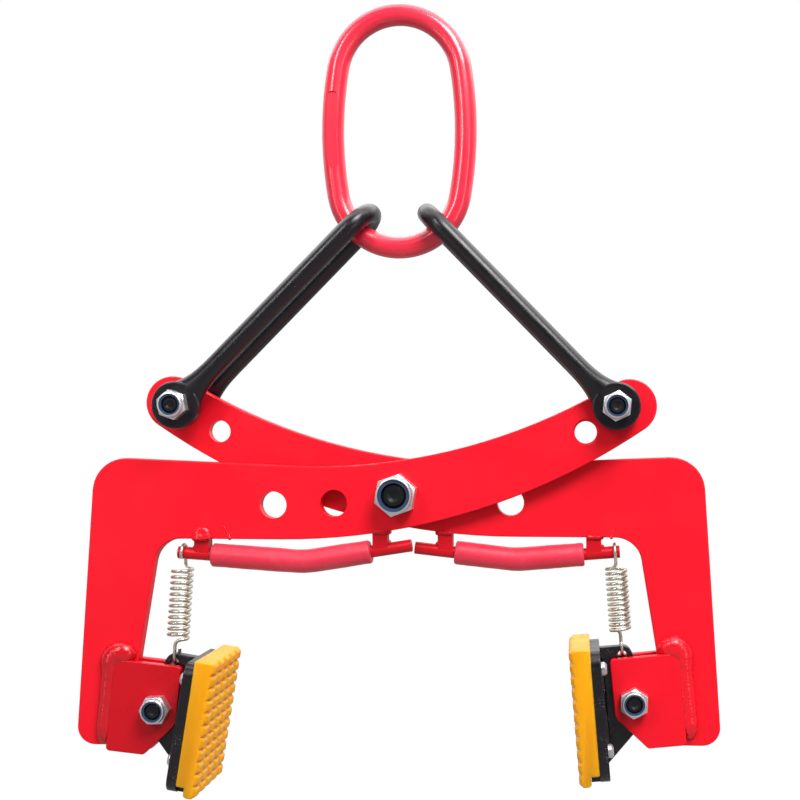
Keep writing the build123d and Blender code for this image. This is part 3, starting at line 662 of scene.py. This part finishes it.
def mound(name, matrix, points, width, height, way, ripple, body, material):
    """A broad weld or drip that swells from a flat face: half widths and heights vary along it."""
    sunk = 1.5
    sides = 28
    step = 0.7
    line = resample(points, step)
    last = len(line) - 1
    rings = []
    for i, (point, share) in enumerate(zip(line, closing(line))):
        along = (line[min(i + 1, last)] - line[max(i - 1, 0)]).normalized()
        across = along.cross(Vector((0, 1, 0))).normalized()
        # Ripples of the weld's passes, with uneven lumps over them
        pass_wave = math.sin(i * 1.55 + 2.0 * noise.noise(point * 0.25))
        ring = []
        for j in range(sides):
            turn = 2 * math.pi * j / sides
            seed = point + across * (6 * math.cos(turn))
            lump = 1 + ripple * (0.2 * pass_wave + noise.noise(seed * 0.22) + 0.6 * noise.noise(seed * 0.7))
            rise = math.sin(turn)
            out = height(i / last) * share * lump * rise if rise > 0 else sunk * rise
            reach = width(i / last) * share * (1 + 0.6 * ripple * noise.noise(seed * 0.35))
            ring.append(point + across * (reach * math.cos(turn)) + Vector((0, way * out, 0)))
        rings.append(ring)
    verts, faces = skin(rings)
    piece = mesh_piece(name, [matrix @ v for v in verts], faces, material, sharp=80.0)
    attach(piece, body)


def swelling(low, high, start, end):
    """A size along a line: one value, then another, with a soft step between two places."""
    def at(t):
        s = min(1.0, max(0.0, (t - start) / (end - start)))
        return low + (high - low) * s * s * (3 - 2 * s)
    return at


def tapering(size, taper):
    """A size along a line that falls off roundly, as the edge of a dome does."""
    def at(t):
        return size * math.sqrt(1 - taper * t * t)
    return at


def cheek_welds(side, material):
    """Broad beads up the leg side of both cheeks, ending in a heavy run over the top corner."""
    off = 3.5
    corner = 8.0
    top_lift = 0.5
    foot_lift = 3.0
    end_lap = 1.0
    half_width = swelling(6.6, 9.2, 0.55, 0.85)
    height = swelling(6.4, 7.6, 0.55, 0.85)
    ripple = {"left": 0.03, "right": 0.05}[side]
    x = -CHEEK_TO_LEG - off
    top = CHEEK_ABOVE + off + top_lift
    line = [Vector((x, 0, -CHEEK_BELOW + foot_lift)), Vector((x, 0, top - corner))]
    line += arc((x + corner, top - corner), corner, start=180, end=90, count=10)
    line += [Vector((-CHEEK_TO_LEG_EDGE - end_lap, 0, top))]
    matrix = leaning_matrix(side, CHEEK_TILT)
    for face, way in FACES:
        points = [p + Vector((0, way * ARM_HALF, 0)) for p in line]
        mound(f"{side}_cheek_weld_{face}", matrix, points, half_width, height, way, ripple,
              ARM_BODY[side], material)


def lug_welds(side, material):
    """Fillet beads where the lug stands on the back of the pad plate."""
    inset = 5.0
    radius = 2.3
    ripple = 0.14
    for face, way in FACES:
        points = [Vector((PLATE_BACK_U, way * LUG_HALF, z)) for z in (LUG_FOOT + inset, LUG_TOP - 2 * inset)]
        bead(f"{side}_lug_weld_{face}", pad_matrix(side), points, radius, ripple, side + "_pad",
             material)


def post_welds(side, material):
    """Beads round the handle posts: along the arm's underside, and across the rod at the free end."""
    radius = 1.9
    ripple = 0.25
    half = POST_WIDTH / 2
    near, far = -POST_HALF_DEPTH, POST_HALF_DEPTH
    on_rod = 0.7
    rod = bent_line(ROD[side], step=0.5)
    for number, (x, top) in enumerate(zip(POSTS[side], POST_TOPS[side])):
        outward = -1 if number == 0 else 1
        end = x + outward * half
        low = min(rod, key=lambda p: abs(p.x - end)).z + ROD_RADIUS
        seams = {
            "front": [(x - half, near, top), (x + half, near, top)],
            "back": [(x - half, far, top), (x + half, far, top)],
            "upper": [(end, near, top), (end, far, top)],
            "lower": [(end, on_rod * near, low), (end, on_rod * far, low)],
        }
        for seam, ends in seams.items():
            points = [Vector(p) for p in ends]
            bead(f"{side}_post_weld_{number}_{seam}", arm_matrix(side), points, radius, ripple,
                 ARM_BODY[side], material)


def post_lump(material):
    """Lump of weld on the front arm's front face, over the outer post."""
    half_width = tapering(7.8, 0.75)
    height = swelling(4.2, 3.0, 0.1, 0.9)
    way = -1
    ripple = 0.06
    x = POSTS["left"][0]
    z = BEAM_UNDERSIDE["left"]
    points = [Vector((x + 1, way * ARM_HALF, z - 1)), Vector((x, way * ARM_HALF, z + 9))]
    mound("left_post_lump", arm_matrix("left"), points, half_width, height, way, ripple,
          "front_arm", material)


def paint_runs(material):
    """Runs of paint that dried at the arms' lower edges, on the faces that look to the front."""
    half_width = swelling(0.7, 1.5, 0.5, 1.0)
    height = swelling(0.35, 1.1, 0.5, 1.0)
    ripple = 0.08
    # Places along the arm and heights over its underside. The rear arm's own frame is turned half round.
    runs = {
        "left": (-1, [(-126.5, 9.5), (-123.5, 4.0), (-121.5, -0.8)]),
        "right": (1, [(-156.0, 6.0), (-155.0, 2.0), (-154.5, -1.2)]),
    }
    for side, (way, run) in runs.items():
        points = [Vector((x, way * ARM_HALF, BEAM_UNDERSIDE[side] + rise)) for x, rise in run]
        mound(side + "_paint_run", arm_matrix(side), points, half_width, height, way, ripple,
              ARM_BODY[side], material)


# Stage
def area_light(name, place, target, size, power):
    data = bpy.data.lights.new(name, "AREA")
    data.shape = "RECTANGLE"
    data.size, data.size_y = size
    data.energy = power
    lamp = bpy.data.objects.new(name, data)
    lamp.location = place
    lamp.rotation_mode = "QUATERNION"
    lamp.rotation_quaternion = (Vector(target) - Vector(place)).to_track_quat("-Z", "Y")
    bpy.context.scene.collection.objects.link(lamp)


def lights():
    """A key high on the right in front, a narrow fill on the left, low side boxes and one overhead."""
    middle = (0, 0, PIVOT.z)
    area_light("key", (0.58, -0.98, PIVOT.z + 1.15), middle, (0.7, 0.7), 27.0)
    area_light("fill", (-0.60, -1.05, PIVOT.z + 0.72), middle, (0.22, 0.44), 4.5)
    for name, x in (("box_left", -1.05), ("box_right", 1.05)):
        area_light(name, (x, -0.95, PIVOT.z + 0.10), middle, (0.20, 1.0), 2.2)
    area_light("overhead", (0, 0.20, PIVOT.z + 0.95), middle, (2.4, 1.3), 25.0)


def blend_values(tree, share, first, second):
    """A number between two others, by a share from 0 to 1."""
    made = tree.nodes.new("ShaderNodeMix")
    for value, socket in zip((share, first, second), (made.inputs[0], made.inputs[2], made.inputs[3])):
        link_value(tree, value, socket)
    return made.outputs[0]


def seen_level(tree, mirrored, soft):
    """1 where the camera looks or light passes through, one level in reflections, another as soft light."""
    path = tree.nodes.new("ShaderNodeLightPath")
    level = blend_values(tree, path.outputs["Is Glossy Ray"], soft, mirrored)
    level = blend_values(tree, path.outputs["Is Transmission Ray"], level, 1.0)
    return blend_values(tree, path.outputs["Is Camera Ray"], level, 1.0)


def soft_step(tree, value, low, high, to_low, to_high):
    """A value's range stretched smoothly to another range, and cut off there."""
    made = tree.nodes.new("ShaderNodeMapRange")
    made.interpolation_type = "SMOOTHSTEP"
    for socket, entry in enumerate((value, low, high, to_low, to_high)):
        link_value(tree, entry, made.inputs[socket])
    return made.outputs[0]


def world():
    """White where it is seen or mirrored behind the clamp, dark where mirrored in front, dim as a light."""
    room = 0.05
    soft_light = 0.15
    front_edge = -0.45
    back_edge = 0.35
    made = bpy.data.worlds.new("studio")
    bpy.context.scene.world = made
    made.use_nodes = True
    tree = made.node_tree
    background = tree.nodes["Background"]
    background.inputs["Color"].default_value = (1, 1, 1, 1)
    way = tree.nodes.new("ShaderNodeTexCoord")
    split = tree.nodes.new("ShaderNodeSeparateXYZ")
    tree.links.new(way.outputs["Generated"], split.inputs[0])
    mirrored = soft_step(tree, split.outputs["Y"], front_edge, back_edge, room, 1.0)
    tree.links.new(seen_level(tree, mirrored, soft_light), background.inputs["Strength"])


def floor_finish():
    """Glowing white, with some matte grey under the clamp that takes its soft shadow."""
    mirrored = 0.4
    soft_light = 0.2
    shadow_reach = (0.10, 0.70)
    glow_share = (0.85, 1.0)
    made = bpy.data.materials.new("floor")
    made.use_nodes = True
    tree = made.node_tree
    shader = tree.nodes["Principled BSDF"]
    shader.inputs["Base Color"].default_value = (0.93, 0.93, 0.93, 1)
    shader.inputs["Roughness"].default_value = 1.0
    shader.inputs["Specular IOR Level"].default_value = 0.0
    glow = tree.nodes.new("ShaderNodeEmission")
    tree.links.new(seen_level(tree, mirrored, soft_light), glow.inputs["Strength"])
    place = tree.nodes.new("ShaderNodeTexCoord")
    flat = tree.nodes.new("ShaderNodeVectorMath")
    flat.operation = "MULTIPLY"
    flat.inputs[1].default_value = (1, 1, 0)
    tree.links.new(place.outputs["Object"], flat.inputs[0])
    length = tree.nodes.new("ShaderNodeVectorMath")
    length.operation = "LENGTH"
    tree.links.new(flat.outputs[0], length.inputs[0])
    mix = tree.nodes.new("ShaderNodeMixShader")
    share = soft_step(tree, length.outputs["Value"], *shadow_reach, *glow_share)
    tree.links.new(share, mix.inputs[0])
    tree.links.new(shader.outputs[0], mix.inputs[1])
    tree.links.new(glow.outputs[0], mix.inputs[2])
    tree.links.new(mix.outputs[0], tree.nodes["Material Output"].inputs["Surface"])
    return made


def floor():
    """Pale floor under the hanging clamp, low enough for the pads, which drop as it closes."""
    reach = 12.0
    closing_drop = 0.095
    z = cad_box[0][2] - closing_drop
    corners = [Vector((x * reach, y * reach, z)) for x, y in ((-1, -1), (1, -1), (1, 1), (-1, 1))]
    mesh = bpy.data.meshes.new("floor")
    mesh.from_pydata([tuple(c) for c in corners], [], [(0, 1, 2, 3)])
    mesh.materials.append(floor_finish())
    piece = bpy.data.objects.new("floor", mesh)
    bpy.context.scene.collection.objects.link(piece)


def aim_camera():
    """Camera off to the right of the clamp, with the picture plane nearly parallel to the arms."""
    az, el = math.radians(VIEWPOINT_AZIMUTH), math.radians(VIEWPOINT_ELEVATION)
    yaw, pitch = math.radians(LOOK_YAW), math.radians(LOOK_PITCH)
    back = Vector((math.sin(az) * math.cos(el), -math.cos(az) * math.cos(el), math.sin(el)))
    look = -Vector((math.sin(yaw) * math.cos(pitch), -math.cos(yaw) * math.cos(pitch), math.sin(pitch)))
    data = bpy.data.cameras.new("camera")
    data.sensor_width = SENSOR
    data.lens = SENSOR * FOCAL_PIXELS / IMAGE_PIXELS
    data.shift_x = 0.5 - CENTRE_PIXEL[0] / IMAGE_PIXELS
    data.shift_y = CENTRE_PIXEL[1] / IMAGE_PIXELS - 0.5
    camera = bpy.data.objects.new("camera", data)
    bpy.context.scene.collection.objects.link(camera)
    camera.rotation_mode = "QUATERNION"
    camera.location = PIVOT + back * VIEWPOINT_DISTANCE
    level = look.to_track_quat("-Z", "Y")
    camera.rotation_quaternion = level @ Matrix.Rotation(math.radians(LOOK_ROLL), 3, "Z").to_quaternion()
    bpy.context.scene.camera = camera


bpy.context.scene.view_settings.view_transform = "Standard"
paints = finishes()
dress_solids(paints)
sleeve_finish = sleeve_rubber()
pad_finish = pad_rubber()
wire_finish = spring_wire()
for side in SIDES:
    sleeve(side, sleeve_finish)
    grip_cover(side, pad_finish)
    spring(side, wire_finish)
    cheek_welds(side, paints[WELD_COAT[side]])
    lug_welds(side, paints["plate"])
    post_welds(side, paints["deep"])
post_lump(paints["weld"])
paint_runs(paints["weld"])
floor()
lights()
world()
aim_camera()
